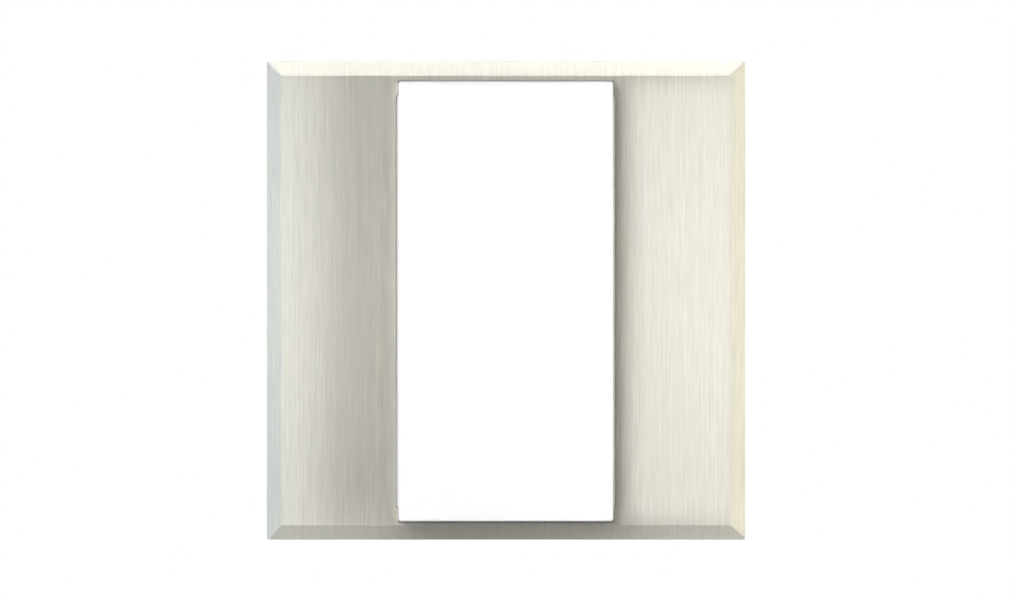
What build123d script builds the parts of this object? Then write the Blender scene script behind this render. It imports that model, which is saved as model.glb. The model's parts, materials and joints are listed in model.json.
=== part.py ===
from build123d import *
from math import radians, sin, tan
import os

# Square switch frame with a full-height rocker, and the push mechanism that carries it.
# X runs to the right, Y into the wall and Z up. The wall is the plane Y = 0, and the origin lies
# midway between the two fixing screws. A height is a distance in front of the wall, in millimetres.

# Frame plate
frame_size = 86.0
frame_height = 8.0
frame_wall = 1.4
frame_skin = 1.6
bevel_width = 2.6
bevel_depth = 2.0
frame_corner_radius = 0.25
face_corner_radius = 0.15
arris_radius = 0.12
window_land = 0.68
window_drop = 0.18
stake_radius = 1.2
stake_head = 0.6
stake_rows = 2
stake_pitch = 50.0

# Rocker
rocker_width = 38.64
rocker_proud = 3.0
rocker_crown = 0.3
rocker_wall = 1.6
rocker_face = 1.8
rocker_corner_radius = 0.4
rocker_edge_radius = 0.2
flange_out = 0.39
flange_setback = 2.72
flange_depth = 0.4
rocker_tilt = 3.0
rib_thickness = 1.2
rib_depth = 1.6
post_width = 5.0
post_offset = 20.0

# Clearances
side_gap = 0.08
end_clearance = 0.035
carrier_gap = 0.2
stake_clearance = 0.05
rocker_clearance = 0.3
running_clearance = 0.04
seat_clearance = 0.02
snap_clearance = 0.15
screw_clearance = 0.05
foot_clearance = 0.1
contact_clearance = 0.05
bridge_clearance = 0.85
hub_side_gap = 0.2

# Frame carrier
carrier_web = 2.6
carrier_rib = 1.4
carrier_setback = 0.6
carrier_ledge = 0.8
ledge_overlap = 0.4
hook_thickness = 1.4
hook_width = 6.0
hook_lip = 0.6
hook_tip = 1.4
hook_x = 26.0
hook_z = 15.0

# Mounting yoke and fixing screws
yoke_thickness = 1.2
yoke_edge_gap = 2.1
yoke_height = 72.0
yoke_corner_radius = 3.0
yoke_window_width = 33.0
fixing_centres = 60.3
fixing_thread_radius = 1.75
fixing_neck_radius = 1.55
fixing_length = 24.0
fixing_head_radius = 3.5
fixing_head_height = 2.2
fixing_slot_width = 4.2
fixing_slot_length = 7.0
drive_slot_width = 0.9
drive_slot_depth = 1.1

# Earth tab, clamp and screw
earth_tab_width = 8.0
earth_tab_length = 11.0
earth_tab_x = -29.0
earth_tab_z = -30.0
earth_block_height = 6.5
earth_block_depth = 9.0

# Mechanism cover and rear housing
cover_flange = 1.8
cover_overlap_x = 5.5
cover_overlap_z = 4.0
cover_corner_radius = 3.0
cheek_thickness = 2.4
cheek_radius = 2.5
cheek_side_gap = 2.3
pivot_height = 5.8
pin_radius = 1.25
cup_wall = 0.7
cup_floor = 1.0
cup_depth = 5.4
cup_window_gap = 1.4
housing_depth = 21.0
housing_wall = 1.8
housing_edge_radius = 1.0
boss_radius = 2.4
boss_depth = 12.0
boss_inset_x = 2.7
boss_inset_z = 5.0
cover_screw_radius = 1.25
cover_screw_head_radius = 2.2
cover_screw_head_height = 1.0
cover_screw_length = 12.0
access_collar = 0.8
access_collar_wall = 1.2
access_clearance = 0.4

# Dolly
dolly_thickness = 2.0
dolly_length = 54.0
dolly_corner_radius = 2.0
dolly_lift = 2.2
hub_radius = 2.3
dolly_rib = 1.0
foot_width = 5.0
foot_depth = 3.0
foot_offset = 9.0
foot_window_gap = 1.0
leg_thickness = 1.2
leg_width = 3.0
leg_lip = 0.5
leg_tip = 0.8
spigot_length = 1.2
spigot_gap = 0.35

# Return springs
spring_radius = 2.3
spring_wire_radius = 0.25
spring_turns = 5
spring_cup_gap = 0.35
spring_foot_gap = 1.9
spring_end_gap = 0.06

# Contacts and terminals
bridge_thickness = 1.0
bridge_width = 6.0
bridge_end = 0.4
trunnion_radius = 0.9
trunnion_length = 2.0
ear_gap = 0.3
ear_thickness = 1.4
ear_half_depth = 2.4
contact_radius = 1.6
contact_height = 0.8
contact_reach = 3.0
tongue_thickness = 1.0
tongue_width = 5.0
pillar_size = 8.0
pillar_boss_gap = 0.4
pillar_wall_gap = 0.2
wire_radius = 1.6
wire_screw_gap = 0.6
entry_radius = 2.2
clamp_thread_radius = 1.75
clamp_head_radius = 2.7
clamp_head_height = 1.4
clamp_grip = 3.2
barrier_thickness = 1.2
barrier_gap = 0.25

# Worked-out sizes
tilt_rise = sin(radians(rocker_tilt))
end_gap = (frame_height - pivot_height) * tilt_rise + end_clearance
rocker_height = frame_size - 2 * (bevel_width + window_land + end_gap)
rocker_top = rocker_height / 2 - window_drop
rocker_bottom = rocker_top - rocker_height
rocker_front = frame_height + rocker_proud
end_draft = rocker_proud * tan(radians(rocker_tilt))
flange_half_length = rocker_height / 2 - flange_setback
cavity_size = frame_size - 2 * frame_wall
cavity_top = frame_height - frame_skin
window_half_width = rocker_width / 2 + flange_out + side_gap
yoke_width = cavity_size - 2 * yoke_edge_gap
carrier_size = cavity_size - 2 * carrier_gap
carrier_back = cavity_top - carrier_web
carrier_foot = yoke_thickness + carrier_gap
carrier_window_half = window_half_width + carrier_setback
stake_x = (window_half_width + cavity_size / 2) / 2
cover_front = yoke_thickness + cover_flange
cup_inner_radius = spring_radius + spring_wire_radius + spring_cup_gap
cup_radius = cup_inner_radius + cup_wall
cup_seat = cover_front - cup_depth
cup_bottom = cup_seat - cup_floor
spring_offset = foot_offset + foot_depth / 2 + spring_foot_gap + cup_radius
yoke_window_height = 2 * (spring_offset + cup_radius + cup_window_gap)
cover_width = yoke_window_width + 2 * cover_overlap_x
cover_height = yoke_window_height + 2 * cover_overlap_z
cover_screw_x = cover_width / 2 - boss_inset_x
cover_screw_z = cover_height / 2 - boss_inset_z
skirt_height = cover_front + cover_height / 2 * tan(radians(rocker_tilt)) + rocker_clearance
cheek_outer = rocker_width / 2 - rocker_wall - cheek_side_gap
cheek_inner = cheek_outer - cheek_thickness
hub_half = cheek_inner - hub_side_gap
dolly_back = cover_front + dolly_lift
dolly_front = dolly_back + dolly_thickness
post_x = hub_half - post_width / 2 - leg_lip
contact_offset = foot_offset + contact_reach
bridge_half = contact_offset + contact_radius + bridge_end
bridge_front = cup_bottom - bridge_half * tilt_rise - bridge_clearance
bridge_axis = bridge_front - bridge_thickness / 2
bridge_back = bridge_front - bridge_thickness
foot_tip = bridge_front + foot_clearance
contact_gap = (contact_offset + contact_radius) * tilt_rise + contact_clearance
fixed_contact_front = bridge_back - contact_height - contact_gap
tongue_front = fixed_contact_front - contact_height
tongue_back = tongue_front - tongue_thickness
ear_inner = bridge_width / 2 + ear_gap
ear_outer = ear_inner + ear_thickness
housing_floor = housing_wall - housing_depth
housing_inner_height = cover_height - 2 * housing_wall
pillar_x = cover_screw_x - boss_radius - pillar_boss_gap - pillar_size / 2
pillar_z = housing_inner_height / 2 - pillar_wall_gap - pillar_size / 2
wire_height = housing_floor + clamp_grip + wire_screw_gap + wire_radius
access_radius = clamp_head_radius + access_clearance
earth_tab_foot = yoke_thickness - earth_tab_length
earth_clamp_z = earth_tab_z + earth_block_height / 2

pillars = [(pillar_x, pillar_z), (pillar_x, -pillar_z), (-pillar_x, -pillar_z)]
both_ways = [1, -1]


def at(height):
    """Plane parallel to the wall at this height, facing the room, with X right and Z up."""
    return Plane.XZ.offset(height)


def stepped_outline(side, end):
    """Rocker outline in the open sketch: flanged middle, narrower ends, grown by the two gaps."""
    narrow = rocker_width / 2 + side
    step = flange_half_length + side
    quarter = [
        (narrow + flange_out, step),
        (narrow, step + flange_out),
        (narrow, rocker_height / 2 + end),
    ]
    half = quarter + [(-x, z) for x, z in reversed(quarter)]
    with Locations((0, -window_drop)):
        Polygon(*half, *[(-x, -z) for x, z in half], align=None)


def flange_outline(inset):
    """Outline of the rocker's flanged middle in the open sketch, drawn in by an inset."""
    wide = rocker_width / 2 + flange_out - inset
    step = flange_half_length - inset
    half = [(wide, step), (wide - flange_out, step + flange_out)]
    half += [(-x, z) for x, z in reversed(half)]
    with Locations((0, -window_drop)):
        Polygon(*half, *[(-x, -z) for x, z in half], align=None)


def hook_outline(x, root, tip, catch, thickness, lip, side):
    """Snap hook in the open sketch across Z: a leg from root to tip with a sloped lip at catch."""
    inner = x - side * thickness / 2
    outer = x + side * thickness / 2
    barb = outer + side * lip
    Polygon(
        (inner, -root),
        (inner, -tip),
        (outer, -tip),
        (barb, -catch + (catch - tip) / 4),
        (barb, -catch),
        (outer, -catch),
        (outer, -root),
        align=None,
    )


# Frame plate: hollow-backed shell, mitred bevel, stepped window and stakes for the carrier
with BuildPart() as frame_plate:
    with BuildSketch(at(0)):
        RectangleRounded(frame_size, frame_size, frame_corner_radius)
    extrude(amount=frame_height - bevel_depth)
    with BuildSketch(at(frame_height - bevel_depth)):
        RectangleRounded(frame_size, frame_size, frame_corner_radius)
    with BuildSketch(at(frame_height)):
        face_size = frame_size - 2 * bevel_width
        RectangleRounded(face_size, face_size, face_corner_radius)
    loft(ruled=True)
    fillet(frame_plate.faces().sort_by(Axis.Y)[0].edges(), arris_radius)
    with BuildSketch(at(0)):
        Rectangle(cavity_size, cavity_size)
    extrude(amount=cavity_top - bevel_depth, mode=Mode.SUBTRACT)
    with BuildSketch(at(cavity_top - bevel_depth)):
        Rectangle(cavity_size, cavity_size)
    with BuildSketch(at(cavity_top)):
        cavity_roof = cavity_size - 2 * bevel_width
        Rectangle(cavity_roof, cavity_roof)
    loft(ruled=True, mode=Mode.SUBTRACT)
    with BuildSketch(at(cavity_top - bevel_depth)):
        stepped_outline(side_gap, end_gap)
    extrude(amount=bevel_depth + frame_skin, mode=Mode.SUBTRACT)
    with BuildSketch(at(cavity_top)):
        with GridLocations(2 * stake_x, stake_pitch, 2, stake_rows):
            Circle(stake_radius)
    extrude(amount=-carrier_web - stake_head)
frame_plate.part.label = "frame_plate"
export_step(frame_plate.part, "parts/frame_plate.step")

# Frame carrier: ribbed moulding in the frame's back, with ledges behind the rocker's ends and yoke hooks
with BuildPart() as frame_carrier:
    with BuildSketch(at(carrier_foot)):
        Rectangle(carrier_size, carrier_size)
    extrude(amount=cavity_top - bevel_depth - carrier_foot)
    with BuildSketch(at(cavity_top - bevel_depth)):
        Rectangle(carrier_size, carrier_size)
    with BuildSketch(at(cavity_top)):
        carrier_roof = carrier_size - 2 * bevel_width
        Rectangle(carrier_roof, carrier_roof)
    loft(ruled=True)
    wing_outer = carrier_size / 2 - carrier_rib
    wing_inner = carrier_window_half + carrier_rib
    with BuildSketch(at(carrier_foot)):
        with Locations(((wing_outer + wing_inner) / 2, 0), (-(wing_outer + wing_inner) / 2, 0)):
            Rectangle(wing_outer - wing_inner, 2 * wing_outer)
    extrude(amount=carrier_back - carrier_foot, mode=Mode.SUBTRACT)
    with BuildSketch(at(carrier_foot + carrier_ledge)):
        with Locations((0, -window_drop)):
            Rectangle(2 * carrier_window_half, rocker_height + 2 * (end_gap + carrier_gap))
    extrude(amount=cavity_top - carrier_foot - carrier_ledge, mode=Mode.SUBTRACT)
    with BuildSketch(at(carrier_foot)):
        Rectangle(2 * carrier_window_half, yoke_height - 2 * ledge_overlap)
    extrude(amount=carrier_ledge, mode=Mode.SUBTRACT)
    with BuildSketch(at(carrier_foot)):
        Rectangle(cover_width + 2 * carrier_gap, cover_height + 2 * carrier_gap)
    extrude(amount=cover_flange, mode=Mode.SUBTRACT)
    with BuildSketch(at(carrier_foot)):
        with GridLocations(2 * stake_x, stake_pitch, 2, stake_rows):
            Circle(stake_radius + stake_clearance)
    extrude(amount=cavity_top - carrier_foot, mode=Mode.SUBTRACT)
    for side in both_ways:
        for hook_centre in (hook_z, -hook_z):
            with BuildSketch(Plane.XY.offset(hook_centre - hook_width / 2)):
                hook_outline(
                    side * hook_x, carrier_back, -hook_tip, -carrier_gap,
                    hook_thickness, hook_lip, side,
                )
            extrude(amount=hook_width)
frame_carrier.part.label = "frame_carrier"
export_step(frame_carrier.part, "parts/frame_carrier.step")

# Mounting yoke: blanked sheet with a lanced earth tab folded back into the wall box
with BuildPart() as mounting_yoke:
    with BuildSketch(at(0)):
        RectangleRounded(yoke_width, yoke_height, yoke_corner_radius)
        Rectangle(yoke_window_width, yoke_window_height, mode=Mode.SUBTRACT)
        with GridLocations(fixing_centres, 0, 2, 1):
            SlotOverall(fixing_slot_length, fixing_slot_width, rotation=90, mode=Mode.SUBTRACT)
        for side in both_ways:
            slot_inner = hook_x - hook_thickness / 2 - hook_lip - snap_clearance
            slot_outer = hook_x + hook_thickness / 2 + snap_clearance
            with Locations((side * (slot_inner + slot_outer) / 2, hook_z)):
                Rectangle(
                    slot_outer - slot_inner, hook_width + 2 * snap_clearance, mode=Mode.SUBTRACT
                )
            with Locations((side * (slot_inner + slot_outer) / 2, -hook_z)):
                Rectangle(
                    slot_outer - slot_inner, hook_width + 2 * snap_clearance, mode=Mode.SUBTRACT
                )
        with GridLocations(2 * cover_screw_x, 2 * cover_screw_z, 2, 2):
            Circle(cover_screw_radius + screw_clearance, mode=Mode.SUBTRACT)
        with Locations((earth_tab_x, earth_tab_z + earth_tab_length / 2)):
            Rectangle(earth_tab_width, earth_tab_length, mode=Mode.SUBTRACT)
    extrude(amount=yoke_thickness)
    with BuildSketch(Plane.XY.offset(earth_tab_z - yoke_thickness)):
        with Locations((earth_tab_x, -(yoke_thickness + earth_tab_foot) / 2)):
            Rectangle(earth_tab_width, earth_tab_length)
    extrude(amount=yoke_thickness)
    with BuildSketch(Plane.XY.offset(earth_tab_z - yoke_thickness)):
        with Locations((earth_tab_x, -earth_tab_foot - earth_block_depth / 2)):
            Circle(clamp_thread_radius + screw_clearance)
    extrude(amount=yoke_thickness, mode=Mode.SUBTRACT)
mounting_yoke.part.label = "mounting_yoke"
export_step(mounting_yoke.part, "parts/mounting_yoke.step")

# Fixing screws: pan heads on the yoke, necks through its slots, threads standing out behind
with BuildPart() as fixing_screws:
    with BuildSketch(at(yoke_thickness)):
        with GridLocations(fixing_centres, 0, 2, 1):
            Circle(fixing_head_radius)
    extrude(amount=fixing_head_height)
    fillet(fixing_screws.faces().group_by(Axis.Y)[0].edges(), fixing_head_height / 3)
    with BuildSketch(at(yoke_thickness + fixing_head_height)):
        with GridLocations(fixing_centres, 0, 2, 1):
            Rectangle(2 * fixing_head_radius, drive_slot_width)
    extrude(amount=-drive_slot_depth, mode=Mode.SUBTRACT)
    with BuildSketch(at(0)):
        with GridLocations(fixing_centres, 0, 2, 1):
            Circle(fixing_neck_radius)
    extrude(amount=yoke_thickness)
    with BuildSketch(at(0)):
        with GridLocations(fixing_centres, 0, 2, 1):
            Circle(fixing_thread_radius)
    extrude(amount=-fixing_length)
    chamfer(fixing_screws.faces().group_by(Axis.Y)[-1].edges(), fixing_thread_radius / 4)
fixing_screws.part.label = "fixing_screws"
export_step(fixing_screws.part, "parts/fixing_screws.step")

# Earth clamp: brass pillar that stands on the folded tab
with BuildPart() as earth_clamp:
    with BuildSketch(at(earth_tab_foot)):
        with Locations((earth_tab_x, earth_clamp_z)):
            Rectangle(earth_tab_width, earth_block_height)
    extrude(amount=earth_block_depth)
    chamfer(earth_clamp.edges().filter_by(Axis.Y), wire_radius / 4)
    with BuildSketch(at(earth_tab_foot)):
        with Locations((earth_tab_x, earth_clamp_z)):
            Circle(wire_radius)
    extrude(amount=earth_block_depth, mode=Mode.SUBTRACT)
    with BuildSketch(Plane.XY.offset(earth_tab_z)):
        with Locations((earth_tab_x, -earth_tab_foot - earth_block_depth / 2)):
            Circle(clamp_thread_radius + screw_clearance)
    extrude(amount=earth_block_height / 2, mode=Mode.SUBTRACT)
earth_clamp.part.label = "earth_clamp"
export_step(earth_clamp.part, "parts/earth_clamp.step")

# Earth screw: passes up through the tab into the clamp, short of the wire
with BuildPart() as earth_screw:
    with BuildSketch(Plane.XY.offset(earth_tab_z - yoke_thickness)):
        with Locations((earth_tab_x, -earth_tab_foot - earth_block_depth / 2)):
            Circle(clamp_head_radius)
    extrude(amount=-clamp_head_height)
    chamfer(earth_screw.faces().sort_by(Axis.Z)[0].edges(), clamp_head_height / 4)
    with BuildSketch(Plane.XY.offset(earth_tab_z - yoke_thickness - clamp_head_height)):
        with Locations((earth_tab_x, -earth_tab_foot - earth_block_depth / 2)):
            Rectangle(2 * clamp_head_radius, drive_slot_width)
    extrude(amount=clamp_head_height / 2, mode=Mode.SUBTRACT)
    with BuildSketch(Plane.XY.offset(earth_tab_z - yoke_thickness)):
        with Locations((earth_tab_x, -earth_tab_foot - earth_block_depth / 2)):
            Circle(clamp_thread_radius)
    extrude(amount=yoke_thickness + earth_block_height / 2 - wire_radius - wire_screw_gap)
earth_screw.part.label = "earth_screw"
export_step(earth_screw.part, "parts/earth_screw.step")

# Mechanism cover: flange on the yoke, bearing cheeks, spring cups and windows for the feet
with BuildPart() as mechanism_cover:
    with BuildSketch(at(yoke_thickness)):
        RectangleRounded(cover_width, cover_height, cover_corner_radius)
    extrude(amount=cover_flange)
    with BuildSketch(at(cup_bottom)):
        with GridLocations(0, 2 * spring_offset, 1, 2):
            Circle(cup_radius)
    extrude(amount=yoke_thickness - cup_bottom)
    with BuildSketch(at(cup_seat)):
        with GridLocations(0, 2 * spring_offset, 1, 2):
            Circle(cup_inner_radius)
    extrude(amount=cover_front - cup_seat, mode=Mode.SUBTRACT)
    with BuildSketch(at(yoke_thickness)):
        with GridLocations(0, 2 * foot_offset, 1, 2):
            Rectangle(foot_width + 2 * foot_window_gap, foot_depth + 2 * foot_window_gap)
    extrude(amount=cover_flange, mode=Mode.SUBTRACT)
    for side in both_ways:
        with BuildSketch(Plane.YZ.offset(side * cheek_inner)):
            with Locations((-pivot_height, 0)):
                Circle(cheek_radius)
            with Locations((-(pivot_height + cover_front) / 2, 0)):
                Rectangle(pivot_height - cover_front, 2 * cheek_radius)
            with Locations((-pivot_height, 0)):
                Circle(pin_radius + seat_clearance, mode=Mode.SUBTRACT)
        extrude(amount=side * cheek_thickness)
    with Locations(at(cover_front)):
        with GridLocations(2 * cover_screw_x, 2 * cover_screw_z, 2, 2):
            CounterSinkHole(
                cover_screw_radius + screw_clearance,
                cover_screw_head_radius + screw_clearance,
                cover_flange,
            )
mechanism_cover.part.label = "mechanism_cover"
export_step(mechanism_cover.part, "parts/mechanism_cover.step")

# Rear housing: moulded box with screw bosses, contact rests, barriers and wire entries
with BuildPart() as rear_housing:
    with BuildSketch(at(-housing_depth)):
        RectangleRounded(cover_width, cover_height, cover_corner_radius)
    extrude(amount=housing_depth)
    fillet(rear_housing.faces().sort_by(Axis.Y)[-1].edges(), housing_edge_radius)
    with BuildSketch(at(-housing_depth - access_collar)):
        with Locations(*pillars):
            Circle(access_radius + access_collar_wall)
    extrude(amount=access_collar)
    with BuildSketch(at(housing_floor)):
        RectangleRounded(
            cover_width - 2 * housing_wall, housing_inner_height, cover_corner_radius - housing_wall
        )
    extrude(amount=-housing_floor, mode=Mode.SUBTRACT)
    with BuildSketch(at(-boss_depth)):
        with GridLocations(2 * cover_screw_x, 2 * cover_screw_z, 2, 2):
            Circle(boss_radius)
    extrude(amount=boss_depth)
    with BuildSketch(at(housing_floor)):
        with GridLocations(0, 2 * contact_offset, 1, 2):
            Rectangle(tongue_width, tongue_width)
        Rectangle(2 * ear_outer, tongue_width)
    extrude(amount=tongue_back - housing_floor)
    for x, z in pillars:
        with BuildSketch(at(housing_floor)):
            inner_side = 1 if x > 0 else -1
            with Locations((x - inner_side * (pillar_size + barrier_thickness + 2 * barrier_gap) / 2, z)):
                Rectangle(barrier_thickness, pillar_size + 2 * pillar_wall_gap)
        extrude(amount=tongue_back - barrier_gap - housing_floor)
    with BuildSketch(at(-boss_depth)):
        with GridLocations(2 * cover_screw_x, 2 * cover_screw_z, 2, 2):
            Circle(cover_screw_radius + screw_clearance)
    extrude(amount=boss_depth, mode=Mode.SUBTRACT)
    with BuildSketch(at(-housing_depth - access_collar)):
        with Locations(*pillars):
            Circle(access_radius)
    extrude(amount=access_collar + housing_wall, mode=Mode.SUBTRACT)
    for x, z in pillars:
        way_out = 1 if z > 0 else -1
        with BuildSketch(Plane.XY.offset(way_out * housing_inner_height / 2)):
            with Locations((x, -wire_height)):
                Circle(entry_radius)
        extrude(amount=way_out * housing_wall, mode=Mode.SUBTRACT)
rear_housing.part.label = "rear_housing"
export_step(rear_housing.part, "parts/rear_housing.step")

# Cover screws: countersunk, through cover and yoke into the housing's bosses
with BuildPart() as cover_screws:
    with Locations(at(cover_front)):
        with GridLocations(2 * cover_screw_x, 2 * cover_screw_z, 2, 2):
            Cylinder(
                cover_screw_radius, cover_screw_length,
                align=(Align.CENTER, Align.CENTER, Align.MAX),
            )
            Cone(
                cover_screw_radius, cover_screw_head_radius, cover_screw_head_height,
                align=(Align.CENTER, Align.CENTER, Align.MAX),
            )
            Box(
                2 * cover_screw_head_radius, drive_slot_width, cover_screw_head_height,
                align=(Align.CENTER, Align.CENTER, Align.MAX), mode=Mode.SUBTRACT,
            )
cover_screws.part.label = "cover_screws"
export_step(cover_screws.part, "parts/cover_screws.step")

# Pivot pin: held in the cheeks
with BuildPart() as pivot_pin:
    with BuildSketch(Plane.YZ.offset(-cheek_outer)):
        with Locations((-pivot_height, 0)):
            Circle(pin_radius)
    extrude(amount=2 * cheek_outer)
    chamfer(pivot_pin.edges(), pin_radius / 6)
pivot_pin.part.label = "pivot_pin"
export_step(pivot_pin.part, "parts/pivot_pin.step")

# Dolly: lever with hub, snap windows, spring spigots and the feet that press the contact bridge
with BuildPart() as dolly:
    with BuildSketch(at(dolly_back)):
        RectangleRounded(2 * hub_half, dolly_length, dolly_corner_radius)
        with GridLocations(2 * post_x, 2 * post_offset, 2, 2):
            Rectangle(
                leg_thickness + 2 * snap_clearance, leg_width + 2 * snap_clearance,
                mode=Mode.SUBTRACT,
            )
    extrude(amount=dolly_thickness)
    with BuildSketch(at(dolly_back)):
        with GridLocations(foot_width + dolly_rib, 0, 2, 1):
            Rectangle(dolly_rib, 2 * contact_offset)
    extrude(amount=-dolly_rib)
    with BuildSketch(Plane.YZ.offset(-hub_half)):
        with Locations((-pivot_height, 0)):
            Circle(hub_radius)
    extrude(amount=2 * hub_half)
    with BuildSketch(at(dolly_back)):
        with GridLocations(0, 2 * foot_offset, 1, 2):
            Rectangle(foot_width, foot_depth)
    extrude(amount=foot_tip - dolly_back)
    with BuildSketch(at(dolly_back)):
        with GridLocations(0, 2 * spring_offset, 1, 2):
            Circle(spring_radius - spring_wire_radius - spigot_gap)
    extrude(amount=-spigot_length)
    with BuildSketch(Plane.YZ.offset(-hub_half)):
        with Locations((-pivot_height, 0)):
            Circle(pin_radius + running_clearance)
    extrude(amount=2 * hub_half, mode=Mode.SUBTRACT)
dolly.part.label = "dolly"
export_step(dolly.part, "parts/dolly.step")

# Rocker cap: crowned hollow moulding with drafted ends, side flanges, ribs, seating posts and snap legs
with BuildPart() as rocker_cap:
    with BuildSketch(at(skirt_height)):
        with Locations((0, -window_drop)):
            RectangleRounded(rocker_width, rocker_height, rocker_corner_radius)
    extrude(amount=frame_height - skirt_height)
    with BuildSketch(at(frame_height)):
        with Locations((0, -window_drop)):
            RectangleRounded(rocker_width, rocker_height, rocker_corner_radius)
    with BuildSketch(at(rocker_front)):
        with Locations((0, -window_drop)):
            RectangleRounded(rocker_width, rocker_height - 2 * end_draft, rocker_corner_radius)
    loft(ruled=True)
    with BuildSketch(Plane.YZ.offset(-rocker_width / 2)):
        with BuildLine():
            Polyline(
                (rocker_crown - rocker_front, rocker_top),
                (-skirt_height, rocker_top),
                (-skirt_height, rocker_bottom),
                (rocker_crown - rocker_front, rocker_bottom),
            )
            ThreePointArc(
                (rocker_crown - rocker_front, rocker_bottom),
                (-rocker_front, -window_drop),
                (rocker_crown - rocker_front, rocker_top),
            )
        make_face()
    extrude(amount=rocker_width, mode=Mode.INTERSECT)
    fillet(rocker_cap.faces().sort_by(Axis.Y)[0].edges(), rocker_edge_radius)
    with BuildSketch(at(skirt_height)):
        flange_outline(0)
    extrude(amount=frame_height - flange_depth - skirt_height)
    with BuildSketch(at(frame_height - flange_depth)):
        flange_outline(0)
    with BuildSketch(at(rocker_front - rocker_crown - rocker_edge_radius)):
        flange_outline(flange_out + rocker_edge_radius / 6)
    loft(ruled=True)
    inner_top = rocker_top - rocker_wall
    inner_bottom = rocker_bottom + rocker_wall
    ceiling = rocker_front - rocker_face
    with BuildSketch(Plane.YZ.offset(rocker_wall - rocker_width / 2)):
        with BuildLine():
            Polyline(
                (rocker_crown - ceiling, inner_top),
                (-skirt_height, inner_top),
                (-skirt_height, inner_bottom),
                (rocker_crown - ceiling, inner_bottom),
            )
            ThreePointArc(
                (rocker_crown - ceiling, inner_bottom),
                (-ceiling, -window_drop),
                (rocker_crown - ceiling, inner_top),
            )
        make_face()
    extrude(amount=rocker_width - 2 * rocker_wall, mode=Mode.SUBTRACT)
    with BuildSketch(at(ceiling)):
        with GridLocations(0, dolly_length + 4 * rib_thickness, 1, 2):
            Rectangle(rocker_width - rocker_wall, rib_thickness)
        with GridLocations(2 * post_x, dolly_length + 8 * rib_thickness, 2, 2):
            Rectangle(rib_thickness, 8 * rib_thickness)
    extrude(amount=-rib_depth)
    with BuildSketch(at(ceiling)):
        with GridLocations(2 * post_x, 2 * post_offset, 2, 2):
            Rectangle(post_width, post_width)
    extrude(amount=dolly_front - ceiling)
    for side in both_ways:
        for leg_centre in (post_offset, -post_offset):
            with BuildSketch(Plane.XY.offset(leg_centre - leg_width / 2)):
                hook_outline(
                    side * post_x, dolly_front, dolly_back - leg_tip, dolly_back - snap_clearance / 2,
                    leg_thickness, leg_lip, side,
                )
            extrude(amount=leg_width)
rocker_cap.part.label = "rocker_cap"
export_step(rocker_cap.part, "parts/rocker_cap.step")

# Return springs: one behind each arm of the dolly, seated in the cover's cups
spring_height = dolly_back - cup_seat - 2 * (spring_wire_radius + spring_end_gap)
for spring_name, side in (("upper_return_spring", 1), ("lower_return_spring", -1)):
    spring_foot = -(cup_seat + spring_wire_radius + spring_end_gap)
    with BuildPart() as return_spring:
        with BuildLine() as coil:
            Helix(
                spring_height / spring_turns, spring_height, spring_radius,
                center=(0, spring_foot, side * spring_offset), direction=(0, -1, 0),
            )
        with BuildSketch(Plane(origin=coil.line @ 0, z_dir=coil.line % 0)):
            Circle(spring_wire_radius)
        sweep(is_frenet=True)
    return_spring.part.label = spring_name
    export_step(return_spring.part, f"parts/{spring_name}.step")

# Contact bridge: brass see-saw with trunnions that lie in the common terminal's saddle
with BuildPart() as contact_bridge:
    with BuildSketch(at(bridge_back)):
        RectangleRounded(bridge_width, 2 * bridge_half, bridge_end)
    extrude(amount=bridge_thickness)
    with BuildSketch(Plane.YZ.offset(-bridge_width / 2 - trunnion_length)):
        with Locations((-bridge_axis, 0)):
            Circle(trunnion_radius)
    extrude(amount=bridge_width + 2 * trunnion_length)
contact_bridge.part.label = "contact_bridge"
export_step(contact_bridge.part, "parts/contact_bridge.step")

# Silver tips on the see-saw
with BuildPart() as bridge_contacts:
    with BuildSketch(at(bridge_back)):
        with GridLocations(0, 2 * contact_offset, 1, 2):
            Circle(contact_radius)
    extrude(amount=-contact_height)
    fillet(bridge_contacts.faces().group_by(Axis.Y)[-1].edges(), contact_height / 2)
bridge_contacts.part.label = "bridge_contacts"
export_step(bridge_contacts.part, "parts/bridge_contacts.step")

# Silver tips on the fixed tongues
with BuildPart() as fixed_contacts:
    with BuildSketch(at(tongue_front)):
        with GridLocations(0, 2 * contact_offset, 1, 2):
            Circle(contact_radius)
    extrude(amount=contact_height)
    fillet(fixed_contacts.faces().group_by(Axis.Y)[0].edges(), contact_height / 2)
fixed_contacts.part.label = "fixed_contacts"
export_step(fixed_contacts.part, "parts/fixed_contacts.step")

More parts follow.
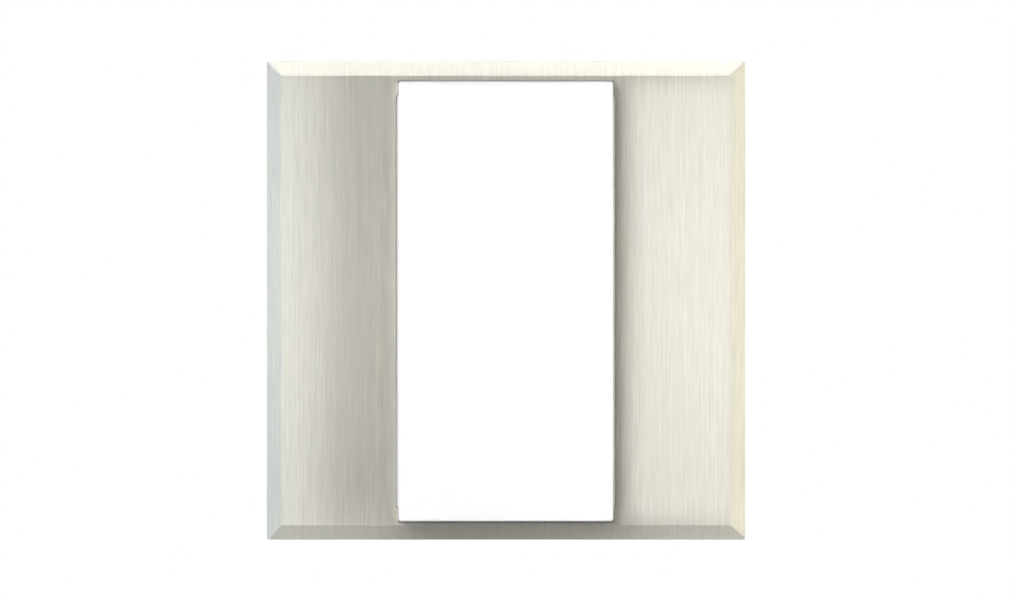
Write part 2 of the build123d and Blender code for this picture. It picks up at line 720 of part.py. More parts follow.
# Upper and lower terminals: brass pillar with a tongue that carries the fixed contact
for terminal_name, side in (("upper_terminal", 1), ("lower_terminal", -1)):
    tongue_end = pillar_x + tongue_width / 2
    with BuildPart() as switched_terminal:
        with BuildSketch(at(housing_floor)):
            with Locations((pillar_x, side * pillar_z)):
                Rectangle(pillar_size, pillar_size)
        extrude(amount=tongue_front - housing_floor)
        with BuildSketch(at(tongue_back)):
            with Locations(((tongue_end - tongue_width / 2) / 2, side * contact_offset)):
                Rectangle(tongue_end + tongue_width / 2, tongue_width)
            with Locations((pillar_x, side * (contact_offset - tongue_width / 2 + pillar_z) / 2)):
                Rectangle(tongue_width, pillar_z - contact_offset + tongue_width / 2)
        extrude(amount=tongue_thickness)
        with BuildSketch(Plane.XY.offset(side * (pillar_z - pillar_size / 2))):
            with Locations((pillar_x, -wire_height)):
                Circle(wire_radius)
        extrude(amount=side * pillar_size, mode=Mode.SUBTRACT)
        with BuildSketch(at(housing_floor)):
            with Locations((pillar_x, side * pillar_z)):
                Circle(clamp_thread_radius + screw_clearance)
        extrude(amount=clamp_grip + wire_screw_gap + wire_radius, mode=Mode.SUBTRACT)
    switched_terminal.part.label = terminal_name
    export_step(switched_terminal.part, f"parts/{terminal_name}.step")

# Common terminal: brass pillar with the saddle whose ears carry the see-saw
with BuildPart() as common_terminal:
    with BuildSketch(at(housing_floor)):
        with Locations((-pillar_x, -pillar_z)):
            Rectangle(pillar_size, pillar_size)
    extrude(amount=tongue_front - housing_floor)
    with BuildSketch(at(tongue_back)):
        with Locations(((ear_outer - pillar_x - tongue_width / 2) / 2, 0)):
            Rectangle(ear_outer + pillar_x + tongue_width / 2, 2 * ear_half_depth)
        with Locations((-pillar_x, (ear_half_depth - pillar_z) / 2)):
            Rectangle(tongue_width, ear_half_depth + pillar_z)
    extrude(amount=tongue_thickness)
    with BuildSketch(at(tongue_front)):
        with GridLocations(ear_inner + ear_outer, 0, 2, 1):
            Rectangle(ear_thickness, 2 * ear_half_depth)
    extrude(amount=bridge_front - tongue_front)
    with BuildSketch(Plane.YZ.offset(-ear_outer)):
        notch_radius = trunnion_radius + running_clearance
        with Locations((-bridge_axis, 0)):
            Circle(notch_radius)
        with Locations((-(bridge_axis + bridge_front) / 2, 0)):
            Rectangle(bridge_front - bridge_axis, 2 * notch_radius)
    extrude(amount=2 * ear_outer, mode=Mode.SUBTRACT)
    with BuildSketch(Plane.XY.offset(-pillar_z + pillar_size / 2)):
        with Locations((-pillar_x, -wire_height)):
            Circle(wire_radius)
    extrude(amount=-pillar_size, mode=Mode.SUBTRACT)
    with BuildSketch(at(housing_floor)):
        with Locations((-pillar_x, -pillar_z)):
            Circle(clamp_thread_radius + screw_clearance)
    extrude(amount=clamp_grip + wire_screw_gap + wire_radius, mode=Mode.SUBTRACT)
common_terminal.part.label = "common_terminal"
export_step(common_terminal.part, "parts/common_terminal.step")

# Terminal screws: driven from behind through the housing's access holes
with BuildPart() as terminal_screws:
    with BuildSketch(at(housing_floor)):
        with Locations(*pillars):
            Circle(clamp_head_radius)
    extrude(amount=-clamp_head_height)
    chamfer(terminal_screws.faces().group_by(Axis.Y)[-1].edges(), clamp_head_height / 4)
    with BuildSketch(at(housing_floor - clamp_head_height)):
        with Locations(*pillars):
            Rectangle(2 * clamp_head_radius, drive_slot_width)
    extrude(amount=clamp_head_height / 2, mode=Mode.SUBTRACT)
    with BuildSketch(at(housing_floor)):
        with Locations(*pillars):
            Circle(clamp_thread_radius)
    extrude(amount=clamp_grip)
terminal_screws.part.label = "terminal_screws"
export_step(terminal_screws.part, "parts/terminal_screws.step")
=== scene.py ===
"""Dress the switch frame: brushed plate, white rocker, mechanism, coiled springs, screws and studio."""
import json
import math

import bmesh
import bpy
from mathutils import Matrix, Vector


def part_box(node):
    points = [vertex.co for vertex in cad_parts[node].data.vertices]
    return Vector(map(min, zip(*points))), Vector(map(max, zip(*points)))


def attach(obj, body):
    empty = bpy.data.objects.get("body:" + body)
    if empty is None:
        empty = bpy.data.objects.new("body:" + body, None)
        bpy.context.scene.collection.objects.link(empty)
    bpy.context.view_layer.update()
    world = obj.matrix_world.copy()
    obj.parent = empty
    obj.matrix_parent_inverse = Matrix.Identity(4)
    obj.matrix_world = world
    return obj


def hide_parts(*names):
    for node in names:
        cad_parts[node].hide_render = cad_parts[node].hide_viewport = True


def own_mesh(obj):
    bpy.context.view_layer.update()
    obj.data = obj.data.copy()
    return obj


bl_info = {
    "name": "Switch Frame Dresser",
    "version": (1, 0, 0),
    "blender": (4, 5, 0),
    "location": "3D View > Sidebar > Switch Frame",
    "description": "Finishes of a brushed switch frame with a tall rocker, and the studio it is seen in",
    "category": "Object",
}

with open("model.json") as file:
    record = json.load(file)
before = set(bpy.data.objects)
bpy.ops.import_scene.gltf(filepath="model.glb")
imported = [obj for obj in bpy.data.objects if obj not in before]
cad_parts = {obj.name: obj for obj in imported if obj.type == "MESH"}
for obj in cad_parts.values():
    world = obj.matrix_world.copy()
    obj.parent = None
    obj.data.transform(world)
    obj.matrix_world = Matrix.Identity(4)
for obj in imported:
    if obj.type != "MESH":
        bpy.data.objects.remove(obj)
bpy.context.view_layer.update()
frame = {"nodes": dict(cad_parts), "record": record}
BOX_SCREWS = next(mount for mount in frame["record"]["mounts"] if mount["name"] == "box_screws")
MM = 0.001
PLASTIC_IOR = 1.5

# Sockets of a Mix node that mixes colours
MIX_A = 6
MIX_B = 7
MIX_RESULT = 2

# Studio: picture and view depth, softboxes in metres, beam of the edge strips in degrees
PHOTO_WIDTH = 1012
VIEW_DEPTH = 20.0
SOFTBOX_DISTANCE = 1.0
KEY_BOX = 0.2
BACK_BOX = 0.5
EDGE_BEAM = 40


# Settings
def slot_colour(slot):
    """Base colour that the record gives a material slot."""
    return next(row["base_color"] for row in frame["record"]["materials"] if row["slot"] == slot)


class BrushedPlate(bpy.types.PropertyGroup):
    """Finish of the metal frame plate."""

    colour: bpy.props.FloatVectorProperty(
        name="Metal", description="Colour of the brushed metal", subtype="COLOR",
        default=(0.578, 0.563, 0.5), min=0.0, max=1.0,
    )
    metallic: bpy.props.FloatProperty(
        name="Metallic", description="Share of the surface that reflects as bare metal",
        default=0.5, min=0.0, max=1.0, subtype="FACTOR",
    )
    roughness: bpy.props.FloatProperty(
        name="Roughness", description="Mean roughness of the brushed surface",
        default=0.6, min=0.0, max=1.0, subtype="FACTOR",
    )
    roughness_swing: bpy.props.FloatProperty(
        name="Roughness swing", description="Amount by which brush marks change the roughness",
        default=0.03, min=0.0, max=1.0, subtype="FACTOR",
    )
    anisotropy: bpy.props.FloatProperty(
        name="Anisotropy", description="Share by which brush marks stretch the reflections",
        default=0.6, min=0.0, max=1.0, subtype="FACTOR",
    )
    streak_width: bpy.props.FloatProperty(
        name="Streak width", description="Mean width of one brush mark", default=0.2 * MM, unit="LENGTH",
    )
    streak_length: bpy.props.FloatProperty(
        name="Streak length", description="Mean length of one brush mark", default=7 * MM, unit="LENGTH",
    )
    streak_contrast: bpy.props.FloatProperty(
        name="Streak contrast", description="Share by which brush marks lighten and darken the metal",
        default=0.1, min=0.0, max=1.0, subtype="FACTOR",
    )
    tint_share: bpy.props.FloatProperty(
        name="Tint share", description="Share of coloured tint in the brush marks",
        default=0.05, min=0.0, max=1.0, subtype="FACTOR",
    )


class WhiteRocker(bpy.types.PropertyGroup):
    """Finish of the rocker."""

    colour: bpy.props.FloatVectorProperty(
        name="White", description="Colour of the rocker's plastic", subtype="COLOR",
        default=(0.975, 0.975, 0.975), min=0.0, max=1.0,
    )
    roughness: bpy.props.FloatProperty(
        name="Roughness", description="Mean roughness of the satin plastic",
        default=0.38, min=0.0, max=1.0, subtype="FACTOR",
    )
    roughness_swing: bpy.props.FloatProperty(
        name="Roughness swing", description="Amount by which the gloss is uneven",
        default=0.03, min=0.0, max=1.0, subtype="FACTOR",
    )


class Mouldings(bpy.types.PropertyGroup):
    """Finish of the plastic mouldings behind the plate."""

    carrier: bpy.props.FloatVectorProperty(
        name="Carrier", description="Colour of the carrier and the dolly", subtype="COLOR",
        default=slot_colour("grey_carrier"), min=0.0, max=1.0,
    )
    housing: bpy.props.FloatVectorProperty(
        name="Housing", description="Colour of the mechanism's cover and housing", subtype="COLOR",
        default=slot_colour("ivory_moulding"), min=0.0, max=1.0,
    )
    grain: bpy.props.FloatProperty(
        name="Grain", description="Size of the moulded texture's pits", default=0.25 * MM, unit="LENGTH",
    )


class Metals(bpy.types.PropertyGroup):
    """Finish of the metal parts behind the plate."""

    zinc: bpy.props.FloatVectorProperty(
        name="Zinc", description="Colour of the plated yoke", subtype="COLOR",
        default=slot_colour("zinc_steel"), min=0.0, max=1.0,
    )
    plating: bpy.props.FloatVectorProperty(
        name="Plating", description="Colour of the plated screws", subtype="COLOR",
        default=slot_colour("plated_screws"), min=0.0, max=1.0,
    )
    spring: bpy.props.FloatVectorProperty(
        name="Spring steel", description="Colour of the springs and the pivot pin", subtype="COLOR",
        default=slot_colour("spring_steel"), min=0.0, max=1.0,
    )
    brass: bpy.props.FloatVectorProperty(
        name="Brass", description="Colour of the terminals and the contact bridge", subtype="COLOR",
        default=slot_colour("brass"), min=0.0, max=1.0,
    )
    silver: bpy.props.FloatVectorProperty(
        name="Silver", description="Colour of the contact tips", subtype="COLOR",
        default=slot_colour("silver_tips"), min=0.0, max=1.0,
    )


class FixingScrews(bpy.types.PropertyGroup):
    """Sizes of the threaded fixing screws."""

    thread_radius: bpy.props.FloatProperty(
        name="Thread radius", description="Radius over the thread's crests", unit="LENGTH",
        default=BOX_SCREWS["dims"]["stud_r_mm"] * MM,
    )
    pitch: bpy.props.FloatProperty(
        name="Pitch", description="Distance from crest to crest", default=0.6 * MM, unit="LENGTH",
    )
    neck_radius: bpy.props.FloatProperty(
        name="Neck radius", description="Radius of the plain neck in the yoke's slot",
        default=1.55 * MM, unit="LENGTH",
    )
    head_height: bpy.props.FloatProperty(
        name="Head height", description="Height of the pan head", default=2.2 * MM, unit="LENGTH",
    )
    slot_width: bpy.props.FloatProperty(
        name="Slot width", description="Width of the driver's slot", default=0.9 * MM, unit="LENGTH",
    )
    slot_depth: bpy.props.FloatProperty(
        name="Slot depth", description="Depth of the driver's slot", default=1.1 * MM, unit="LENGTH",
    )


class ReturnSprings(bpy.types.PropertyGroup):
    """Sizes of the coiled return springs."""

    wire_radius: bpy.props.FloatProperty(
        name="Wire radius", description="Radius of the spring's wire", default=0.25 * MM, unit="LENGTH",
    )
    turns: bpy.props.IntProperty(name="Turns", description="Number of turns in a coil", default=5)
    pressed_share: bpy.props.FloatProperty(
        name="Pressed share", subtype="FACTOR", default=0.86,
        description="Share of its length that a spring keeps at the rocker's limit",
    )


class Studio(bpy.types.PropertyGroup):
    """Camera and floor."""

    focal_length: bpy.props.FloatProperty(
        name="Focal length", description="Lens of the camera in millimetres",
        default=600.0, unit="CAMERA",
    )
    plate_pixels: bpy.props.FloatProperty(
        name="Plate pixels", description="Width of the plate in the picture", default=478.4,
    )
    lift_pixels: bpy.props.FloatProperty(
        name="Lift", description="Pixels by which the plate's centre sits below the picture's",
        default=0.55,
    )
    floor_drop: bpy.props.FloatProperty(
        name="Floor drop", description="Depth of the floor below the plate's lower edge",
        default=18 * MM, unit="LENGTH",
    )
    floor_radius: bpy.props.FloatProperty(
        name="Floor radius", description="Radius of the round floor", default=300 * MM, unit="LENGTH",
    )
    floor_colour: bpy.props.FloatVectorProperty(
        name="Floor", description="Colour of the pale floor", subtype="COLOR",
        default=(0.86, 0.86, 0.85), min=0.0, max=1.0,
    )


class StudioLights(bpy.types.PropertyGroup):
    """Colours of the lights, and the brightness of each light's face."""

    neutral: bpy.props.FloatVectorProperty(
        name="Neutral", description="Colour of the plain lights", subtype="COLOR",
        default=(1.0, 1.0, 1.0), min=0.0, max=1.0,
    )
    warm: bpy.props.FloatVectorProperty(
        name="Warm", description="Colour of the warm lights", subtype="COLOR",
        default=(1.0, 0.95, 0.79), min=0.0, max=1.0,
    )
    cool: bpy.props.FloatVectorProperty(
        name="Cool", description="Colour of the cool lights", subtype="COLOR",
        default=(0.41, 0.71, 1.0), min=0.0, max=1.0,
    )
    upper_key: bpy.props.FloatProperty(
        name="Upper key", description="Box above on the left, which throws the lower shadow",
        default=26.0,
    )
    left_key: bpy.props.FloatProperty(
        name="Left key", description="Box on the left, which throws the right shadow", default=12.5,
    )
    lower_left: bpy.props.FloatProperty(
        name="Lower left", description="Box on the left, a little below", default=3.0,
    )
    lower_fill_left: bpy.props.FloatProperty(
        name="Lower fill left", description="Box below on the left", default=23.0,
    )
    lower_fill_right: bpy.props.FloatProperty(
        name="Lower fill right", description="Box below on the right", default=6.0,
    )
    overhead: bpy.props.FloatProperty(
        name="Overhead", description="Box above and behind, for the floor and the back", default=7.0,
    )
    back_fill: bpy.props.FloatProperty(
        name="Back fill", description="Boxes behind, for the back of the switch", default=2.2,
    )
    low_back_fill: bpy.props.FloatProperty(
        name="Low back fill", description="Box behind and below the plate", default=0.9,
    )
    left_panel: bpy.props.FloatProperty(
        name="Left panel", description="Small panel before the left wing", default=4.1,
    )
    right_panel: bpy.props.FloatProperty(
        name="Right panel", description="Tall panel before the right wing", default=3.15,
    )
    left_wing_fill: bpy.props.FloatProperty(
        name="Left wing fill", description="Narrow beam on the left wing", default=0.52,
    )
    right_wing_fill: bpy.props.FloatProperty(
        name="Right wing fill", description="Narrow beam on the right wing", default=0.3,
    )
    rocker_fill: bpy.props.FloatProperty(
        name="Rocker fill", description="Narrow beam on the rocker", default=0.15,
    )
    top_edge: bpy.props.FloatProperty(
        name="Top edge", description="Thin strip along the top bevel", default=1.57,
    )
    right_edge: bpy.props.FloatProperty(
        name="Right edge", description="Thin warm strip along the right bevel", default=1.25,
    )
    left_edge: bpy.props.FloatProperty(
        name="Left edge", description="Thin cool strip along the left bevel", default=0.45,
    )
    low_left_edge: bpy.props.FloatProperty(
        name="Low left edge", description="Short strip at the bottom bevel's left end", default=0.74,
    )
    low_right_edge: bpy.props.FloatProperty(
        name="Low right edge", description="Short strip at the bottom bevel's right end", default=0.46,
    )


# Materials
def add_node(tree, kind, inputs=None, **settings):
    """Add a shader node with its settings and its inputs' values."""
    made = tree.nodes.new(kind)
    for name, value in settings.items():
        setattr(made, name, value)
    for name, value in (inputs or {}).items():
        made.inputs[name].default_value = value
    return made


def new_material(name, colour, metallic, roughness, **inputs):
    """Material with one shader whose constant values are set on its own sockets."""
    material = bpy.data.materials.new(name)
    material.use_nodes = True
    shader = material.node_tree.nodes["Principled BSDF"]
    shader.inputs["Base Color"].default_value = (*colour, 1.0)
    shader.inputs["Metallic"].default_value = metallic
    shader.inputs["Roughness"].default_value = roughness
    for socket, value in inputs.items():
        shader.inputs[socket].default_value = value
    return material, material.node_tree, shader


def object_noise(tree, size, detail=2.0):
    """Noise on Object coordinates whose features have this size along X, Y and Z."""
    place = add_node(tree, "ShaderNodeTexCoord")
    scale = add_node(tree, "ShaderNodeMapping", {"Scale": [1.0 / length for length in size]})
    noise = add_node(tree, "ShaderNodeTexNoise", {"Scale": 1.0, "Detail": detail, "Roughness": 0.55})
    tree.links.new(place.outputs["Object"], scale.inputs["Vector"])
    tree.links.new(scale.outputs["Vector"], noise.inputs["Vector"])
    return noise


def spread(tree, source, low, high):
    """Spread the middle half of a noise over this range of values."""
    ranged = add_node(
        tree, "ShaderNodeMapRange", {"From Min": 0.25, "From Max": 0.75, "To Min": low, "To Max": high}
    )
    tree.links.new(source, ranged.inputs["Value"])
    return ranged.outputs["Result"]


def scale_colour(tree, colour, factor):
    """Multiply a colour by a varying factor."""
    scaled = add_node(tree, "ShaderNodeVectorMath", operation="SCALE")
    scaled.inputs[0].default_value = colour
    tree.links.new(factor, scaled.inputs["Scale"])
    return scaled.outputs["Vector"]


def vary_colour(tree, shader, colour, source, low, high):
    """Let the shader's base colour vary around a colour, between these two factors."""
    varied = scale_colour(tree, colour, spread(tree, source, low, high))
    tree.links.new(varied, shader.inputs["Base Color"])


def vary_roughness(tree, shader, source, low, high):
    """Let the shader's roughness vary between these two values."""
    tree.links.new(spread(tree, source, low, high), shader.inputs["Roughness"])


def add_bump(tree, shader, height, strength, distance):
    """Bump the shader's surface by a height field."""
    bump = add_node(tree, "ShaderNodeBump", {"Strength": strength, "Distance": distance})
    tree.links.new(height, bump.inputs["Height"])
    tree.links.new(bump.outputs["Normal"], shader.inputs["Normal"])


def brushed_metal(name, plate):
    """Satin metal brushed along Z, with streaks of tone, tint and roughness."""
    material, tree, shader = new_material(
        name, plate.colour, plate.metallic, plate.roughness, Anisotropic=plate.anisotropy
    )
    tangent = add_node(tree, "ShaderNodeTangent", direction_type="RADIAL", axis="Z")
    tree.links.new(tangent.outputs["Tangent"], shader.inputs["Tangent"])
    width = plate.streak_width
    length = plate.streak_length
    long_length = 5 * length
    tint_width = 2 * width
    tint_length = 2 * length
    fine = object_noise(tree, (width, length, length))
    long = object_noise(tree, (width, long_length, long_length), detail=1.0)
    tint = object_noise(tree, (tint_width, tint_length, tint_length), detail=1.0)
    contrast = plate.streak_contrast
    fine_tone = spread(tree, fine.outputs["Fac"], 1 - contrast, 1 + contrast)
    long_tone = spread(tree, long.outputs["Fac"], 1 - contrast / 2, 1 + contrast / 2)
    tone = add_node(tree, "ShaderNodeMath", operation="MULTIPLY")
    tree.links.new(fine_tone, tone.inputs[0])
    tree.links.new(long_tone, tone.inputs[1])
    tinted = add_node(
        tree, "ShaderNodeMix", {"Factor": plate.tint_share}, data_type="RGBA", blend_type="OVERLAY"
    )
    toned = scale_colour(tree, plate.colour, tone.outputs["Value"])
    tree.links.new(toned, tinted.inputs[MIX_A])
    tree.links.new(tint.outputs["Color"], tinted.inputs[MIX_B])
    tree.links.new(tinted.outputs[MIX_RESULT], shader.inputs["Base Color"])
    smoothest = plate.roughness - plate.roughness_swing
    roughest = plate.roughness + plate.roughness_swing
    vary_roughness(tree, shader, fine.outputs["Fac"], smoothest, roughest)
    add_bump(tree, shader, fine.outputs["Fac"], strength=0.12, distance=0.02 * MM)
    return material


def satin_plastic(name, rocker):
    """Smooth white plastic with a faint unevenness in its gloss."""
    cloud_size = (6 * MM, 6 * MM, 9 * MM)
    skin_size = (0.15 * MM, 0.15 * MM, 0.15 * MM)
    material, tree, shader = new_material(name, rocker.colour, 0.0, rocker.roughness, IOR=PLASTIC_IOR)
    cloud = object_noise(tree, cloud_size)
    vary_colour(tree, shader, rocker.colour, cloud.outputs["Fac"], low=0.995, high=1.005)
    smoothest = rocker.roughness - rocker.roughness_swing
    roughest = rocker.roughness + rocker.roughness_swing
    vary_roughness(tree, shader, cloud.outputs["Fac"], smoothest, roughest)
    skin = object_noise(tree, skin_size)
    add_bump(tree, shader, skin.outputs["Fac"], strength=0.03, distance=0.01 * MM)
    return material


def moulded_plastic(name, colour, grain):
    """Matt plastic with the fine spark-eroded grain of its mould."""
    flow_size = (14 * MM, 9 * MM, 14 * MM)
    material, tree, shader = new_material(name, colour, metallic=0.0, roughness=0.6, IOR=PLASTIC_IOR)
    pits = object_noise(tree, (grain, grain, grain), detail=3.0)
    flow = object_noise(tree, flow_size)
    vary_colour(tree, shader, colour, flow.outputs["Fac"], low=0.96, high=1.03)
    vary_roughness(tree, shader, pits.outputs["Fac"], low=0.5, high=0.7)
    add_bump(tree, shader, pits.outputs["Fac"], strength=0.25, distance=0.02 * MM)
    return material


def zinc_plating(name, colour):
    """Zinc plated sheet with soft crystal patches and a rolled grain along X."""
    crystals_per_metre = 260.0
    rolled_size = (6 * MM, 0.3 * MM, 0.3 * MM)
    material, tree, shader = new_material(name, colour, metallic=1.0, roughness=0.38)
    place = add_node(tree, "ShaderNodeTexCoord")
    crystals = add_node(tree, "ShaderNodeTexVoronoi", {"Scale": crystals_per_metre}, feature="F1")
    tree.links.new(place.outputs["Object"], crystals.inputs["Vector"])
    patch = add_node(tree, "ShaderNodeSeparateColor")
    tree.links.new(crystals.outputs["Color"], patch.inputs["Color"])
    vary_colour(tree, shader, colour, patch.outputs["Red"], low=0.88, high=1.02)
    rolled = object_noise(tree, rolled_size)
    vary_roughness(tree, shader, rolled.outputs["Fac"], low=0.3, high=0.46)
    add_bump(tree, shader, rolled.outputs["Fac"], strength=0.1, distance=0.02 * MM)
    return material


def drawn_metal(name, colour, roughness, mark_size):
    """Bare metal with drawing or turning marks of this size."""
    material, tree, shader = new_material(name, colour, 1.0, roughness)
    marks = object_noise(tree, mark_size)
    vary_colour(tree, shader, colour, marks.outputs["Fac"], low=0.9, high=1.04)
    vary_roughness(tree, shader, marks.outputs["Fac"], low=roughness - 0.06, high=roughness + 0.08)
    add_bump(tree, shader, marks.outputs["Fac"], strength=0.03, distance=0.004 * MM)
    return material


# Pieces
def dress(material, *nodes):
    """Give CAD nodes this material in place of their own."""
    for node in nodes:
        for material_slot in frame["nodes"][node].material_slots:
            material_slot.material = material


def finish_piece(name, shape, material, body, slot, *nodes):
    """Turn a bmesh into a named piece that stands for CAD nodes and rides on their body."""
    mesh = bpy.data.meshes.new(name)
    shape.to_mesh(mesh)
    shape.free()
    piece = bpy.data.objects.new(name, mesh)
    bpy.context.scene.collection.objects.link(piece)
    mesh.materials.append(material)
    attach(piece, body)
    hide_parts(*nodes)
    return piece


def chain(shape, points):
    """Add vertices joined in a row by edges."""
    verts = [shape.verts.new(point) for point in points]
    edges = [shape.edges.new(pair) for pair in zip(verts, verts[1:])]
    return verts + edges


def whole(shape):
    """All vertices, edges and faces of a shape."""
    return shape.verts[:] + shape.edges[:] + shape.faces[:]


def cap_open_ends(shape):
    """Close each flat open loop of edges with one face."""
    rim = [edge for edge in shape.edges if edge.is_boundary]
    bmesh.ops.holes_fill(shape, edges=rim, sides=0)


def add_thread(shape, radius, pitch, length, steps=28):
    """Add a closed threaded shank that runs from the origin along Y."""
    root = radius - 0.6 * pitch
    root_flat = 0.125 * pitch
    crest_flat = 0.12 * pitch
    profile = [
        (root, -pitch, 0),
        (root, root_flat - pitch, 0),
        (radius, -(pitch + crest_flat) / 2, 0),
        (radius, -(pitch - crest_flat) / 2, 0),
        (root, -root_flat, 0),
        (root, 0, 0),
    ]
    turns = math.ceil(length / pitch) + 2
    bmesh.ops.spin(
        shape, geom=chain(shape, profile), cent=(0, 0, 0), axis=(0, 1, 0), dvec=(0, pitch / steps, 0),
        angle=turns * math.tau, steps=turns * steps, use_merge=False,
    )
    bmesh.ops.remove_doubles(shape, verts=shape.verts[:], dist=pitch / 100)
    for end, side in ((0.0, -1), (length, 1)):
        bmesh.ops.bisect_plane(
            shape, geom=whole(shape), dist=pitch / 1000, plane_co=(0, end, 0), plane_no=(0, side, 0),
            clear_outer=True,
        )
    cap_open_ends(shape)


def add_coil(shape, radius, wire_radius, turns, start, end, sides=10, steps=32):
    """Add a closed coil of wire around Y, from one place along it to another."""
    ring = bmesh.ops.create_circle(shape, segments=sides, radius=wire_radius)["verts"]
    bmesh.ops.translate(shape, verts=ring, vec=(radius, start, 0))
    rise = (end - start) / (turns * steps)
    bmesh.ops.spin(
        shape, geom=ring + shape.edges[:], cent=(0, 0, 0), axis=(0, 1, 0), dvec=(0, rise, 0),
        angle=turns * math.tau, steps=turns * steps, use_merge=False,
    )
    cap_open_ends(shape)
    bmesh.ops.recalc_face_normals(shape, faces=shape.faces[:])


def add_slotted_head(
    shape, head_radius, height, neck_radius, neck_length, slot_width, slot_depth, steps=48, edge_steps=5
):
    """Add a pan head with a driver's slot, on a neck that ends at the origin."""
    top = -neck_length - height
    edge = height / 3
    rounding = []
    for step in range(edge_steps, -1, -1):
        turn = math.pi / 2 * step / edge_steps
        across = head_radius - edge + edge * math.cos(turn)
        rounding.append((across, top + edge - edge * math.sin(turn), 0))
    profile = [(0, top, 0), *rounding, (head_radius, -neck_length, 0)]
    profile += [(neck_radius, -neck_length, 0), (neck_radius, 0, 0), (0, 0, 0)]
    bmesh.ops.spin(
        shape, geom=chain(shape, profile), cent=(0, 0, 0), axis=(0, 1, 0), angle=math.tau, steps=steps,
        use_merge=True,
    )
    near = head_radius / 1000
    bmesh.ops.remove_doubles(shape, verts=shape.verts[:], dist=near)
    half = slot_width / 2
    floor = top + slot_depth
    cuts = (((0, 0, half), (0, 0, 1)), ((0, 0, -half), (0, 0, -1)), ((0, floor, 0), (0, 1, 0)))
    for point, normal in cuts:
        bmesh.ops.bisect_plane(shape, geom=whole(shape), dist=near / 10, plane_co=point, plane_no=normal)
    in_slot = []
    for face in shape.faces:
        middle = face.calc_center_median()
        if abs(middle.z) < half and middle.y < floor:
            in_slot.append(face)
    bmesh.ops.delete(shape, geom=in_slot, context="FACES")
    rim = [vert for vert in shape.verts if vert.is_boundary and abs(vert.co.y - floor) < near]
    for side in (half, -half):
        wall = [vert for vert in rim if abs(vert.co.z - side) < near]
        shape.edges.new(wall)
    cap_open_ends(shape)


# Operators for the pieces
class SWITCH_OT_frame_plate(bpy.types.Operator):
    """Give the frame plate its brushed finish."""

    bl_idname = "switch.frame_plate"
    bl_label = "Frame Plate"

    def execute(self, context):
        dress(brushed_metal("brushed frame metal", context.scene.brushed_plate), "frame_plate")
        return {"FINISHED"}


class SWITCH_OT_rocker(bpy.types.Operator):
    """Give the rocker its white satin plastic."""

    bl_idname = "switch.rocker"
    bl_label = "Rocker"

    def execute(self, context):
        dress(satin_plastic("white rocker plastic", context.scene.white_rocker), "rocker_cap")
        return {"FINISHED"}


class SWITCH_OT_mouldings(bpy.types.Operator):
    """Give the carrier, dolly, cover and housing their moulded plastics."""

    bl_idname = "switch.mouldings"
    bl_label = "Mouldings"

    def execute(self, context):
        finish = context.scene.mouldings
        grey = moulded_plastic("grey carrier plastic", finish.carrier, finish.grain)
        dress(grey, "frame_carrier", "dolly")
        ivory = moulded_plastic("ivory housing plastic", finish.housing, finish.grain)
        dress(ivory, "mechanism_cover", "rear_housing")
        return {"FINISHED"}


class SWITCH_OT_yoke(bpy.types.Operator):
    """Give the mounting yoke its zinc plating."""

    bl_idname = "switch.yoke"
    bl_label = "Yoke"

    def execute(self, context):
        dress(zinc_plating("yoke zinc plating", context.scene.metals.zinc), "mounting_yoke")
        return {"FINISHED"}


class SWITCH_OT_contacts(bpy.types.Operator):
    """Give the terminals, the contact bridge and the contact tips their metals."""

    bl_idname = "switch.contacts"
    bl_label = "Contacts"

    def execute(self, context):
        metals = context.scene.metals
        rolled_marks = (3 * MM, 0.25 * MM, 3 * MM)
        brass = drawn_metal("terminal brass", metals.brass, roughness=0.3, mark_size=rolled_marks)
        dress(brass, "earth_clamp", "contact_bridge")
        dress(brass, "common_terminal", "upper_terminal", "lower_terminal")
        tip_marks = (0.4 * MM, 0.4 * MM, 0.4 * MM)
        silver = drawn_metal("contact silver", metals.silver, roughness=0.25, mark_size=tip_marks)
        dress(silver, "bridge_contacts", "fixed_contacts")
        return {"FINISHED"}


class SWITCH_OT_springs(bpy.types.Operator):
    """Coil the return springs at their resting length, and finish them and the pivot pin."""

    bl_idname = "switch.springs"
    bl_label = "Springs"

    def execute(self, context):
        colour = context.scene.metals.spring
        drawn_marks = (2 * MM, 0.2 * MM, 2 * MM)
        steel = drawn_metal("drawn spring steel", colour, roughness=0.32, mark_size=drawn_marks)
        dress(steel, "pivot_pin")
        coil = context.scene.return_springs
        wire = coil.wire_radius
        for node in ("upper_return_spring", "lower_return_spring"):
            low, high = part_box(node)
            radius = (high.x - low.x) / 2 - wire
            middle = (low.z + high.z) / 2
            shape = bmesh.new()
            add_coil(shape, radius, wire, coil.turns, start=high.y - wire, end=low.y + wire)
            bmesh.ops.translate(shape, verts=shape.verts[:], vec=(0, 0, middle))
            piece = finish_piece(f"coiled_{node}", shape, steel, "base", "spring_steel", node)
            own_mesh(piece)
        return {"FINISHED"}


